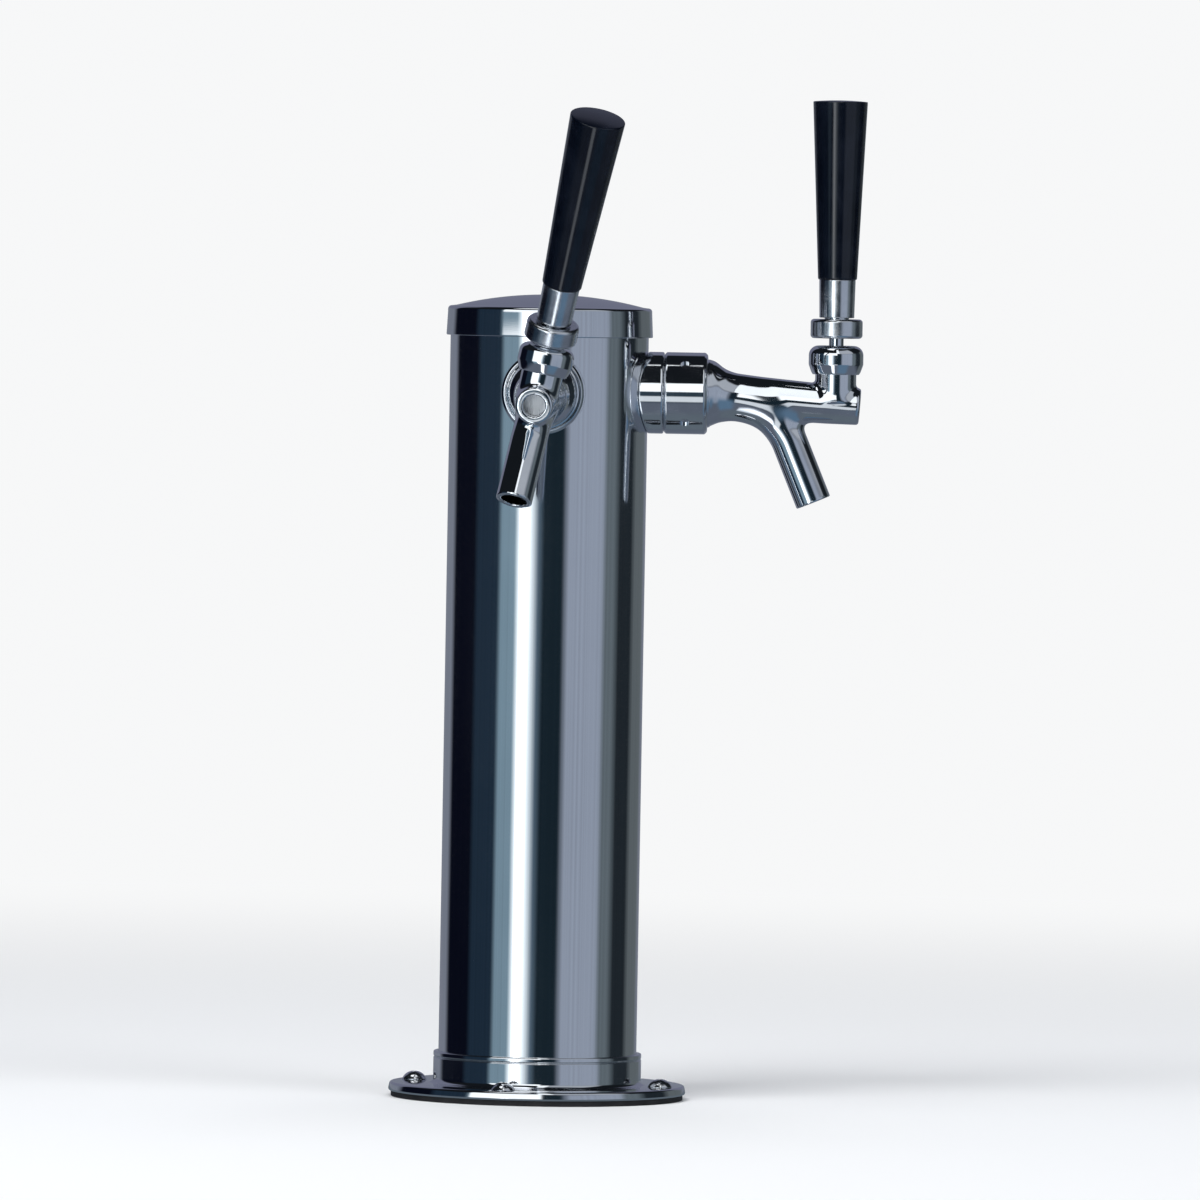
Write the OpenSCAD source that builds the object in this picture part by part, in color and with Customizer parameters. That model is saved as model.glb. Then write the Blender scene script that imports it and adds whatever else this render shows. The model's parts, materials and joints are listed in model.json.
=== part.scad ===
// Two-faucet beer tap tower, in millimetres.
// The origin is the centre of the counter face under the base, +Z runs up the column,
// and -Y is the front, midway between the two faucets.

/* [Base] */
// Diameter of the round base flange
flange_d = 114.3; // [112:0.1:120]
// Thickness of the flange's disc
flange_t = 3.5; // [3:0.1:4]
// Diameter of the neck that holds the column
neck_d = 80; // [79.6:0.1:84]
// Height of the neck's top above the counter
neck_top = 17.5; // [14:0.5:22]
// Thickness of the rubber gasket
gasket_t = 2; // [1.5:0.1:2.5]
// Diameter of the open throat in the base
throat_d = 66; // [62:0.5:68]
// Circle that the mounting screws stand on
screw_pcd = 98; // [97:0.5:99]
// Plan angle of the first mounting screw
screw_angle = 32; // [0:1:90]
// Shank diameter of a mounting screw
screw_d = 4.8; // [4:0.1:5]
// Length of a screw below the counter face
screw_reach = 14; // [10:1:20]

/* [Column] */
// Outer diameter of the column
column_d = 76.2; // [76:0.1:76.4]
// Wall of the column
column_wall = 1.5; // [1.2:0.1:1.6]
// Height of the column's top edge
column_top = 302; // [300:1:303]
// Diameter of the cap's skirt
cap_d = 79.4; // [79:0.1:80]
// Height of the skirt of the cap
cap_skirt = 10.5; // [8:0.5:12]
// Rise of the cap's dome above its edge
cap_rise = 5.5; // [4:0.5:8]

/* [Faucet layout] */
// Height of the shank's axis
shank_h = 272; // [268:1:273]
// Angle between the two faucets
faucet_spread = 90; // [80:1:120]
// Spline teeth that the left faucet is turned by
left_teeth_turned = -1; // [-2:1:2]

/* [Shank] */
// Diameter of the shank's thread
shank_d = 22.2; // [22:0.1:22.3]
// Bore through the shank
shank_bore_d = 6.4; // [5:0.1:8]
// Diameter of the coupling nut and the collar behind it
coupling_d = 31.4; // [31.2:0.1:33]
// Distance from the column's axis to the coupling nut's back
coupling_back = 44.4; // [44.3:0.1:44.6]
// Distance from the column's axis to the coupling nut's front
coupling_front = 61; // [60.5:0.1:61.5]
// Teeth on the shank's spline
spline_teeth = 30; // [24:1:30]

/* [Faucet] */
// Droop of the barrel from the horizontal
barrel_droop = 4; // [3:0.5:5]
// Length of the barrel from the coupling nut to its nose
barrel_len = 57.8; // [56:0.1:59]
// Diameter of the barrel's nose
nose_d = 14; // [13.8:0.1:15]
// Bore that the front piston slides in
piston_bore_d = 8.4; // [8.4:0.1:8.6]
// Outer diameter of the spout
spout_d = 13.8; // [13:0.1:15]
// Bore of the spout
spout_bore_d = 10; // [9:0.1:10.4]
// Radius of the spout's bend
spout_bend_r = 27.4; // [26:0.1:29]
// Angle that the spout turns through
spout_turn = 67.5; // [65:0.5:70]
// Straight length at the spout's end
spout_straight = 24; // [20:0.5:28]
// Radius of the web between the barrel and the spout
crotch_r = 9; // [7:0.5:9.5]

/* [Lever and handle] */
// Distance from the column's axis to the lever's ball
lever_u = 110.2; // [110:0.1:110.6]
// Height of the ball above the shank's axis
ball_h = 12; // [12:0.1:12.2]
// Diameter of the lever's ball
ball_d = 12.8; // [12.6:0.1:12.8]
// Diameter of the bonnet
bonnet_d = 21; // [20.6:0.1:21.4]
// Diameter of the lever's collar
collar_d = 20; // [19:0.1:20]
// Diameter of the lever's stud
stud_d = 9.5; // [8:0.1:9.5]
// How far the left lever is pulled as drawn
left_pull = 20; // [0:1:24]
// How far the right lever is pulled as drawn
right_pull = 0; // [0:1:24]
// Length of the grip
grip_len = 68.9; // [60:0.1:90]
// Diameter of the grip's foot
grip_foot_d = 15; // [14.6:0.1:17]
// Diameter of the grip's top
grip_top_d = 21; // [19:0.1:26]

/* [Beer line] */
// Distance from the column's axis to a beer line
line_u = 8; // [7.6:0.1:8.2]
// Outer diameter of a beer line
line_d = 8; // [7:0.1:8]
// Bore of a beer line
line_bore_d = 5; // [4:0.1:5]
// Height of the hose barb's tip above the counter face
barb_foot = 3; // [1:0.5:6]

/* [Hidden] */
$fn = 96;
SIDES = ["left", "right"];
SHARED_PARTS = ["base_gasket", "base_flange", "mounting_screws", "column", "cap", "top_insulation",
    "insulation_sleeve"];
SIDE_PARTS = ["shank", "shank_collar", "inner_spacer", "locknut", "coupling_nut", "slip_washer",
    "faucet_washer", "tail_washer", "tail_nut", "tailpiece", "beer_line", "line_barb", "faucet_body",
    "ball_washer", "friction_washer", "bonnet", "plunger", "seat_washer", "seat_screw", "lever",
    "lever_collar", "handle_ferrule", "handle_insert", "handle_grip"];

fit = 0.05;        // radial gap between pieces that are fixed to each other
slide_fit = 0.08;  // radial gap of a sliding piece
free_gap = 0.35;   // gap between curved faces that move past each other
over = 1;          // how far a cutting tool runs past the face that it cuts

chrome = "#c9ced6";
brass = "#b08d4c";
rubber = "#23252b";
foam = "#d9d3bf";
grip_black = "#0d0f14";

// Base
flange_top = gasket_t + flange_t;
column_foot = gasket_t + 2;
column_r = column_d / 2;
column_inner_r = column_r - column_wall;
screw_head_r = 4.8;
screw_head_h = 3.2;
screw_neck_r = screw_d / 2 + 0.2;
screw_hole_r = screw_neck_r + 0.15;
screw_point = 5;
screw_tip_r = 0.4;

// Cap
cap_edge_h = column_top + 1.5;
cap_wall = 1.5;
foam_top = column_top - 1;
foam_t = 12;
foam_sleeve_foot = 20;
foam_sleeve_len = 225;
foam_sleeve_inner_r = 28;

// Shank, as distances u from the column's axis
shank_r = shank_d / 2;
shank_hole_r = shank_r + 0.2;
coupling_r = coupling_d / 2;
nut_lip = 1.9;
nut_cavity_r = 14.1;
shank_flange_back = coupling_back + nut_lip + 0.6;
shank_flange_t = 2.6;
shank_flange_r = 13.6;
shank_face = shank_flange_back + shank_flange_t;
spline_len = 1.4;
spline_root_r = 9.6;
spline_tip_r = 10.45;
spline_tooth_w = 0.9;
socket_tooth_r = spline_tip_r - 0.7;
faucet_back = shank_face + 0.3;
thread_end = 27.5;
locknut_back = 27.7;
locknut_t = 4;
locknut_af = 27;
spacer_back = locknut_back + locknut_t + 0.1;
spacer_r = 15;
tail_r = 7;
tail_end = 20;
tail_nut_back = 15.9;
tail_nut_t = 10.6;
tail_nut_af = 20;
tailpiece_r = 4.6;
tailpiece_flange_u = 17.2;
tailpiece_flange_t = 1.5;
tailpiece_flange_r = 6.6;
elbow_r = 7.5;
elbow_u = line_u + elbow_r;
elbow_drop = 20;
elbow_socket = 12;
barb_tail = 14;
barb_ledge = barb_tail + 2.9;

// Faucet: s is the distance along the drooping barrel from the coupling nut's front
barrel_u = coupling_front + 1;
thread_r = 14;
shoulder_r = 13;
shoulder_s = 9.5;
barrel_back_r = 8.4;
barrel_front_r = 7.6;
barrel_front_s = 45;
nose_r = nose_d / 2;
nose_round = 1.6;
socket_r = 10.7;
socket_depth = 2.5;
chamber_r = 8.4;
valve_chamber_r = 7.6;
seat_s = 4.5;
seat_t = 2.5;
seat_orifice_r = 5;
washer_s = 1.5;
stub_r = 2;
flow_r = 6;
flow_end_s = 22;
piston_r = piston_bore_d / 2 - slide_fit;
spout_r = spout_d / 2;
spout_u = 68;
spout_z = -2;
web_t = 9;
boss_r = 7.9;
boss_top = 14;
boss_bore_r = ball_d / 2 + free_gap;
boss_floor = ball_h - ball_d / 2 - 0.2;

// Lever, as heights above the shank's axis
ball_r = ball_d / 2;
neck_low_r = 1.8;
neck_high_r = 2.8;
nose_ball_r = 2.2;
slot_back = 7.2;
slot_front = 3;
slot_half_w = 2.6;
lever_s = (lever_u - barrel_u) / cos(barrel_droop);
lever_drop = ball_h + (lever_u - barrel_u) * tan(barrel_droop);
valve_travel_per_degree = 0.0151 * 1000 * PI / 180;
bonnet_r = bonnet_d / 2;
bonnet_foot = 8.2;
bonnet_top = 19.3;
bonnet_round = 3.7;
bonnet_mouth_r = 7;
bonnet_lip = 16.6;
bonnet_lip_r = 5.7;
friction_foot = 14.3;
friction_top = 16.5;
collar_foot = 22.1;
collar_top = 29.5;
stud_r = stud_d / 2;
stud_top = 40.5;
ferrule_foot = 30;
grip_foot = 44.6;
ferrule_foot_r = 6.7;
ferrule_top_r = 7;
insert_r = 5.6;
insert_len = 13;
nipple_r = 4;

function plan_angle(side) = 270 + (side == "left" ? -1 : 1) * faucet_spread / 2;
function faucet_roll(side) = side == "left" ? left_teeth_turned * 360 / spline_teeth : 0;
function lever_pull(side) = side == "left" ? left_pull : right_pull;
function valve_opening(side) = valve_travel_per_degree * lever_pull(side);
function on_arc(radius, angle) = [radius * cos(angle), radius * sin(angle)];

// Places children with +X out along a faucet's shank, in line with the upright column.
module at_shank(side) {
    rotate([0, 0, plan_angle(side)])
        translate([0, 0, shank_h])
            children();
}

// The same for pieces that turn with the faucet on its spline.
module at_faucet(side) {
    at_shank(side)
        rotate([faucet_roll(side), 0, 0])
            children();
}

// Places children with +Z along the drooping barrel, starting at the distance s along it.
module along_barrel(s) {
    translate([barrel_u, 0, 0])
        rotate([0, 90 + barrel_droop, 0])
            translate([0, 0, s])
                children();
}

// Places children with +Z up through the lever's ball.
module at_lever() {
    translate([lever_u, 0, 0])
        children();
}

// Swings a lever and its handle about the ball, as far as it is drawn pulled.
module at_pull(side) {
    translate([lever_u, 0, ball_h])
        rotate([0, lever_pull(side), 0])
            translate([-lever_u, 0, -ball_h])
                children();
}

// Slides a valve back along the barrel, as far as its lever has opened it.
module at_opening(side) {
    rotate([0, barrel_droop, 0])
        translate([-valve_opening(side), 0, 0])
            rotate([0, -barrel_droop, 0])
                children();
}

// A cylinder that runs outward along the shank from one distance to another.
module shank_cylinder(radius, from_u, to_u) {
    translate([from_u, 0, 0])
        rotate([0, 90, 0])
            cylinder(r = radius, h = to_u - from_u);
}

module shank_hexagon(across_flats, from_u, to_u) {
    translate([from_u, 0, 0])
        rotate([0, 90, 0])
            cylinder(r = across_flats / 2 / cos(30), h = to_u - from_u, $fn = 6);
}

module ring(outer_r, inner_r, height) {
    rotate_extrude()
        translate([inner_r, 0])
            square([outer_r - inner_r, height]);
}

module at_screws() {
    for (quarter = [0 : 3])
        rotate([0, 0, screw_angle + 90 * quarter])
            translate([screw_pcd / 2, 0, 0])
                children();
}

// Base

module base_gasket() {
    color(rubber)
        difference() {
            ring(flange_d / 2 - 1, throat_d / 2, gasket_t);
            at_screws()
                translate([0, 0, -over])
                    cylinder(r = screw_hole_r + 0.15, h = gasket_t + 2 * over);
        }
}

// Half section of the flange: disc with a rounded rim, a fillet, and the neck with a chamfered top.
module flange_section() {
    rim = flange_t / 2;
    rim_x = flange_d / 2 - rim;
    fillet = 2;
    neck_r = neck_d / 2;
    bevel = 0.8;
    polygon(concat(
        [[throat_d / 2, gasket_t]],
        [for (a = [-90 : 15 : 90]) [rim_x, gasket_t + rim] + on_arc(rim, a)],
        [for (a = [270 : -15 : 180]) [neck_r + fillet, flange_top + fillet] + on_arc(fillet, a)],
        [[neck_r, neck_top - bevel], [neck_r - bevel, neck_top]],
        [[column_r + fit, neck_top], [column_r + fit, column_foot], [throat_d / 2, column_foot]]
    ));
}

module base_flange() {
    color(chrome)
        difference() {
            rotate_extrude()
                flange_section();
            at_screws()
                cylinder(r = screw_hole_r, h = neck_top);
        }
}

module dome_head(radius, height) {
    dome_r = (radius * radius + height * height) / (2 * height);
    intersection() {
        translate([0, 0, height - dome_r])
            sphere(r = dome_r);
        cylinder(r = radius, h = height + over);
    }
}

// Wood screw: dome head, plain neck through the base, and a thread that bites below the counter face.
module mounting_screw() {
    recess = [1.1, 4.6, 1.8];
    difference() {
        union() {
            translate([0, 0, flange_top])
                dome_head(screw_head_r, screw_head_h);
            cylinder(r = screw_neck_r, h = flange_top + over);
            translate([0, 0, screw_point - screw_reach])
                cylinder(r = screw_d / 2, h = screw_reach - screw_point + over);
            translate([0, 0, -screw_reach])
                cylinder(r1 = screw_tip_r, r2 = screw_d / 2, h = screw_point);
        }
        for (turn = [0, 90])
            rotate([0, 0, turn])
                translate([-recess.x / 2, -recess.y / 2, flange_top + screw_head_h - recess.z])
                    cube(recess);
    }
}

module mounting_screws() {
    color(chrome)
        at_screws()
            mounting_screw();
}

// Column and cap

module column() {
    color(chrome)
        difference() {
            translate([0, 0, column_foot])
                ring(column_r, column_inner_r, column_top - column_foot);
            for (side = SIDES)
                at_shank(side)
                    shank_cylinder(shank_hole_r, column_inner_r - 10, column_r + 10);
        }
}

module dome_profile(radius, edge_h, rise) {
    dome_r = (radius * radius + rise * rise) / (2 * rise);
    intersection() {
        translate([0, edge_h + rise - dome_r])
            circle(r = dome_r);
        square([radius, edge_h + rise]);
    }
}

module cap() {
    outer_r = cap_d / 2;
    skirt_r = column_r + fit;
    color(chrome)
        difference() {
            rotate_extrude()
                difference() {
                    dome_profile(outer_r, cap_edge_h, cap_rise);
                    square([outer_r + over, cap_edge_h - cap_skirt]);
                    translate([0, -over])
                        square([skirt_r, column_top + fit + over]);
                    dome_profile(column_inner_r, column_top, cap_rise);
                }
        }
}

module top_insulation() {
    color(foam)
        translate([0, 0, foam_top - foam_t])
            cylinder(r = column_inner_r - 0.2, h = foam_t);
}

module insulation_sleeve() {
    color(foam)
        translate([0, 0, foam_sleeve_foot])
            ring(column_inner_r - fit, foam_sleeve_inner_r, foam_sleeve_len);
}

// Shank and its fixings

module spline_ring(root_r, tip_r, turn) {
    for (tooth = [0 : spline_teeth - 1])
        rotate([turn + tooth * 360 / spline_teeth, 0, 0])
            translate([0, -spline_tooth_w / 2, root_r])
                cube([spline_len, spline_tooth_w, tip_r - root_r]);
}

module shank() {
    color(chrome)
        difference() {
            union() {
                shank_cylinder(tail_r, tail_end, thread_end + over);
                shank_cylinder(shank_r, thread_end, shank_flange_back + over);
                shank_cylinder(shank_flange_r, shank_flange_back, shank_face);
                shank_cylinder(spline_root_r, shank_face - over, shank_face + spline_len);
                translate([shank_face, 0, 0])
                    spline_ring(spline_root_r - 0.3, spline_tip_r, 0);
            }
            shank_cylinder(shank_bore_d / 2, tail_end - over, shank_face + spline_len + over);
        }
}

// A stretch of the upright column's cylinder, level with the shanks.
module column_cylinder(radius) {
    reach = 50;
    translate([0, 0, -reach])
        cylinder(r = radius, h = 2 * reach);
}

// Collar with a rounded front edge, and its back hollowed to sit on the column.
module shank_collar() {
    round_r = 1;
    back = 30;
    length = coupling_back - 0.1 - back;
    color(chrome)
        difference() {
            translate([back, 0, 0])
                rotate([0, 90, 0])
                    rotate_extrude()
                        polygon(concat(
                            [[shank_hole_r, 0], [coupling_r, 0]],
                            [for (a = [0 : 22.5 : 90])
                                [coupling_r - round_r, length - round_r] + on_arc(round_r, a)],
                            [[shank_hole_r, length]]
                        ));
            column_cylinder(column_r + fit);
        }
}

module inner_spacer() {
    color(chrome)
        difference() {
            intersection() {
                shank_cylinder(spacer_r, spacer_back, column_r);
                column_cylinder(column_inner_r - fit);
            }
            shank_cylinder(shank_hole_r, spacer_back - over, column_r + over);
        }
}

module locknut() {
    color(brass)
        difference() {
            shank_hexagon(locknut_af, locknut_back, locknut_back + locknut_t);
            shank_cylinder(shank_r + fit, locknut_back - over, locknut_back + locknut_t + over);
        }
}

// Half section of the coupling nut, with its length along +Y.
module coupling_section() {
    bevel = 0.9;
    length = coupling_front - coupling_back;
    polygon([
        [shank_r + 0.15, 0], [coupling_r - bevel, 0], [coupling_r, bevel],
        [coupling_r, length - bevel], [coupling_r - bevel, length], [nut_cavity_r, length],
        [nut_cavity_r, nut_lip], [shank_r + 0.15, nut_lip]
    ]);
}

module coupling_nut() {
    spanner_holes = 4;
    spanner_r = 1.9;
    spanner_depth = 1.1;
    color(chrome)
        difference() {
            translate([coupling_back, 0, 0])
                rotate([0, 90, 0])
                    rotate_extrude()
                        coupling_section();
            for (hole = [0 : spanner_holes - 1])
                rotate([45 + hole * 360 / spanner_holes, 0, 0])
                    translate([(coupling_back + coupling_front) / 2, 0, coupling_r - spanner_depth])
                        cylinder(r = spanner_r, h = 5);
        }
}

module slip_washer() {
    color(brass)
        difference() {
            shank_cylinder(shank_flange_r - 0.2, shank_flange_back - 0.55, shank_flange_back - 0.05);
            shank_cylinder(shank_r + fit, shank_flange_back - over, shank_flange_back + over);
        }
}

// Seal between the shank's face and the faucet, inside the ring of the faucet's own spline teeth.
module faucet_washer() {
    back = shank_face + spline_len + 0.1;
    front = faucet_back + socket_depth - 0.1;
    hole_r = 5.5;
    color(rubber)
        difference() {
            shank_cylinder(socket_tooth_r - 0.25, back, front);
            shank_cylinder(hole_r, back - over, front + over);
        }
}

module tail_washer() {
    back = tailpiece_flange_u + tailpiece_flange_t + 0.05;
    front = tail_end - 0.05;
    color(rubber)
        difference() {
            shank_cylinder(tail_r - 0.2, back, front);
            shank_cylinder(shank_bore_d / 2, back - over, front + over);
        }
}

module tail_nut() {
    lip = 1.2;
    front = tail_nut_back + tail_nut_t;
    color(brass)
        difference() {
            shank_hexagon(tail_nut_af, tail_nut_back, front);
            shank_cylinder(tail_r + fit, tail_nut_back + lip, front + over);
            shank_cylinder(tailpiece_r + fit, tail_nut_back - over, front);
        }
}

// A right-angle bend from the shank's axis down to the beer line.
module elbow(radius) {
    translate([elbow_u, 0, -elbow_r])
        rotate([90, 0, 0])
            rotate([0, 0, 90])
                rotate_extrude(angle = 90)
                    translate([elbow_r, 0])
                        circle(r = radius);
}

module tailpiece() {
    flange_front = tailpiece_flange_u + tailpiece_flange_t;
    bore_r = line_bore_d / 2;
    color(brass)
        difference() {
            union() {
                elbow(tailpiece_r);
                shank_cylinder(tailpiece_r, elbow_u, flange_front);
                shank_cylinder(tailpiece_flange_r, tailpiece_flange_u, flange_front);
                translate([line_u, 0, -elbow_drop])
                    cylinder(r = tailpiece_r, h = elbow_drop - elbow_r);
            }
            elbow(bore_r);
            shank_cylinder(bore_r, elbow_u, flange_front + over);
            translate([line_u, 0, -elbow_drop])
                cylinder(r = bore_r, h = elbow_drop - elbow_r);
            translate([line_u, 0, -elbow_drop - over])
                cylinder(r = line_d / 2 + fit, h = elbow_drop - elbow_socket + over);
        }
}

module beer_line() {
    foot = barb_foot + barb_ledge + 0.1 - shank_h;
    top = -elbow_socket - 0.2;
    color(chrome)
        translate([line_u, 0, foot])
            ring(line_d / 2, line_bore_d / 2, top - foot);
}

// Hose barb with a socket for the beer line, its tail pointing down.
module line_barb() {
    socket = 10;
    barbs = 4;
    pitch = 3;
    root_r = 3.2;
    tip_r = 4;
    bore_r = 2.2;
    color(brass)
        translate([line_u, 0, barb_foot - shank_h])
            difference() {
                union() {
                    cylinder(r = root_r, h = barb_tail);
                    for (barb = [0 : barbs - 1])
                        translate([0, 0, barb * pitch])
                            cylinder(r1 = root_r, r2 = tip_r, h = pitch - 0.6);
                    translate([0, 0, barb_tail])
                        cylinder(r = tailpiece_r + 0.3, h = socket + 2);
                }
                translate([0, 0, -over])
                    cylinder(r = bore_r, h = barb_tail + socket + 2 * over);
                translate([0, 0, barb_ledge])
                    cylinder(r = line_d / 2 + fit, h = socket);
            }
}

// Faucet body

// Half section of the barrel, with its length along +Y from the coupling nut to the nose.
module barrel_section() {
    polygon(concat(
        [[0, -2], [shoulder_r, -2], [shoulder_r, 0], [barrel_back_r, shoulder_s]],
        [[barrel_front_r, barrel_front_s], [nose_r, barrel_len - 3]],
        [for (a = [0 : 15 : 90]) [nose_r - nose_round, barrel_len - nose_round] + on_arc(nose_round, a)],
        [[0, barrel_len]]
    ));
}

// The spout as a bent round bar: an arc from the barrel, then a straight end.
module spout_bar(radius, run_on) {
    translate([spout_u, 0, spout_z - spout_bend_r]) {
        rotate([90, 0, 0])
            rotate([0, 0, 90 - spout_turn])
                rotate_extrude(angle = spout_turn)
                    translate([spout_bend_r, 0])
                        circle(r = radius);
        rotate([0, spout_turn, 0])
            translate([0, 0, spout_bend_r])
                rotate([0, 90, 0])
                    cylinder(r = radius, h = spout_straight + run_on);
    }
}

// Flat web that fills the corner between the barrel and the spout with a round crotch.
module crotch_web() {
    spout_dir = -spout_turn;
    spout_front = [spout_u, spout_z - spout_bend_r] + on_arc(spout_bend_r + spout_r, 90 + spout_dir);
    under = -barrel_front_r / cos(barrel_droop);
    slope = tan(barrel_droop);
    // Corner where the spout's front line meets the line under the barrel
    above = spout_front.y - under + slope * (spout_front.x - barrel_u);
    k = above / (sin(-spout_dir) - slope * cos(spout_dir));
    corner = spout_front + k * [cos(spout_dir), sin(spout_dir)];
    half_angle = (spout_turn - barrel_droop) / 2;
    centre = corner + on_arc(crotch_r / sin(half_angle), -barrel_droop - half_angle);
    inside = corner + on_arc(8, 180 - barrel_droop - half_angle);
    rotate([90, 0, 0])
        translate([0, 0, -web_t / 2])
            linear_extrude(height = web_t)
                polygon(concat(
                    [inside],
                    [for (step = [0 : 10])
                        centre + on_arc(crotch_r, 90 - barrel_droop + (90 - half_angle) * 2 * step / 10)]
                ));
}

module faucet_bores() {
    shank_cylinder(socket_r, faucet_back - over, faucet_back + socket_depth);
    shank_cylinder(chamber_r, faucet_back, barrel_u - 1);
    along_barrel(-3)
        cylinder(r = valve_chamber_r, h = seat_s + 3);
    along_barrel(0)
        cylinder(r = seat_orifice_r, h = seat_s + seat_t + over);
    along_barrel(seat_s + seat_t)
        cylinder(r = flow_r, h = flow_end_s - seat_s - seat_t);
    along_barrel(flow_end_s - over)
        cylinder(r = piston_bore_d / 2, h = barrel_len);
    spout_bar(spout_bore_d / 2, over);
    at_lever()
        translate([0, 0, boss_floor])
            cylinder(r = boss_bore_r, h = boss_top);
    // Slot that the lever's nose swings in
    translate([lever_u - slot_back, -slot_half_w, ball_h - lever_drop])
        cube([slot_back + slot_front, 2 * slot_half_w, lever_drop - ball_h + boss_floor + over]);
}

module faucet_body() {
    color(chrome) {
        difference() {
            union() {
                shank_cylinder(thread_r, faucet_back, coupling_front);
                shank_cylinder(shoulder_r, coupling_front - over, barrel_u);
                along_barrel(0)
                    rotate_extrude()
                        barrel_section();
                spout_bar(spout_r, 0);
                crotch_web();
                at_lever()
                    translate([0, 0, -2])
                        cylinder(r = boss_r, h = boss_top + 2);
            }
            faucet_bores();
        }
        translate([faucet_back, 0, 0])
            spline_ring(socket_tooth_r, socket_r + 0.3, 180 / spline_teeth);
    }
}

// Valve: it slides along the barrel's axis

module plunger() {
    rod_r = 3;
    collar_r = 4.2;
    collar_t = 1.5;
    piston_back = 38;
    slot = nose_ball_r + free_gap;
    color(chrome)
        along_barrel(0)
            difference() {
                union() {
                    translate([0, 0, washer_s])
                        cylinder(r = stub_r, h = seat_s);
                    translate([0, 0, seat_s])
                        cylinder(r = collar_r, h = collar_t);
                    translate([0, 0, seat_s])
                        cylinder(r = rod_r, h = piston_back - seat_s + over);
                    translate([0, 0, piston_back])
                        cylinder(r = piston_r, h = barrel_len - 2.2 - piston_back);
                }
                translate([-5, -slot, lever_s - slot])
                    cube([10, 2 * slot, 2 * slot]);
                translate([-5, -slot, lever_s])
                    cube([4, 2 * slot, slot + 1.2]);
                translate([0, 0, washer_s - over])
                    cylinder(r = 1.25, h = 8);
            }
}

module seat_washer() {
    washer_r = 6.5;
    color(rubber)
        along_barrel(washer_s)
            difference() {
                cylinder(r = washer_r, h = seat_s - washer_s - fit);
                translate([0, 0, -over])
                    cylinder(r = stub_r + fit, h = seat_s + 2 * over);
            }
}

// Slotted screw that holds the seat washer on the plunger.
module seat_screw() {
    head_r = 3.6;
    head_t = 1.6;
    slot_w = 0.8;
    slot_depth = 0.7;
    color(brass)
        along_barrel(washer_s - fit - head_t)
            difference() {
                union() {
                    cylinder(r = head_r, h = head_t);
                    cylinder(r = 1.2, h = head_t + 6);
                }
                translate([-head_r - over, -slot_w / 2, -over])
                    cube([2 * (head_r + over), slot_w, over + slot_depth]);
            }
}

// Lever and its fixings

module ball_cut(radius) {
    translate([0, 0, ball_h])
        sphere(r = radius);
}

module ball_washer() {
    height = 3.2;
    color(brass)
        at_lever()
            difference() {
                translate([0, 0, boss_floor + 0.05])
                    ring(boss_bore_r - fit, 5.2, height);
                ball_cut(ball_r + free_gap);
            }
}

module friction_washer() {
    color(rubber)
        at_lever()
            difference() {
                translate([0, 0, friction_foot])
                    ring(7.6, bonnet_lip_r - 0.3, friction_top - friction_foot);
                ball_cut(ball_r + free_gap);
            }
}

// Half section of the bonnet: threaded skirt, rounded shoulder and flared mouth.
module bonnet_section() {
    thread_bore_r = boss_r + fit;
    shoulder = bonnet_top - bonnet_round;
    foot_r = bonnet_r - 1.6;
    polygon(concat(
        [[thread_bore_r, bonnet_foot], [foot_r, bonnet_foot], [bonnet_r, bonnet_foot + 4]],
        [for (a = [0 : 15 : 90]) [bonnet_r - bonnet_round, shoulder] + on_arc(bonnet_round, a)],
        [[bonnet_mouth_r - 0.3, bonnet_top], [bonnet_lip_r, bonnet_lip + 0.6], [bonnet_lip_r, bonnet_lip]],
        [[thread_bore_r - 0.2, bonnet_lip], [thread_bore_r, bonnet_lip - 0.3]]
    ));
}

module bonnet() {
    color(chrome)
        at_lever()
            rotate_extrude()
                bonnet_section();
}

module lever() {
    color(chrome)
        at_lever()
            union() {
                ball_cut(ball_r);
                translate([0, 0, ball_h - lever_drop])
                    cylinder(r = neck_low_r, h = lever_drop);
                translate([0, 0, ball_h - lever_drop])
                    sphere(r = nose_ball_r);
                translate([0, 0, ball_h])
                    cylinder(r = neck_high_r, h = collar_foot + 1 - ball_h);
                translate([0, 0, collar_foot + 0.2])
                    cylinder(r = stud_r, h = stud_top - collar_foot - 0.2);
            }
}

module lever_collar() {
    radius = collar_d / 2;
    bevel = 0.9;
    color(chrome)
        at_lever()
            rotate_extrude()
                polygon([
                    [stud_r + fit, collar_foot], [radius - bevel, collar_foot], [radius, collar_foot + bevel],
                    [radius, collar_top - bevel], [radius - bevel, collar_top], [stud_r + fit, collar_top]
                ]);
}

module handle_ferrule() {
    bore_r = stud_r + fit;
    bore_top = stud_top + 1;
    color(chrome)
        at_lever()
            rotate_extrude()
                polygon([
                    [bore_r, ferrule_foot], [ferrule_foot_r, ferrule_foot], [ferrule_top_r, grip_foot],
                    [nipple_r, grip_foot], [nipple_r, grip_foot + insert_len - 1],
                    [0, grip_foot + insert_len - 1], [0, bore_top], [bore_r, bore_top]
                ]);
}

module handle_insert() {
    color(brass)
        at_lever()
            translate([0, 0, grip_foot + fit])
                ring(insert_r, nipple_r + fit, insert_len);
}

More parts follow.
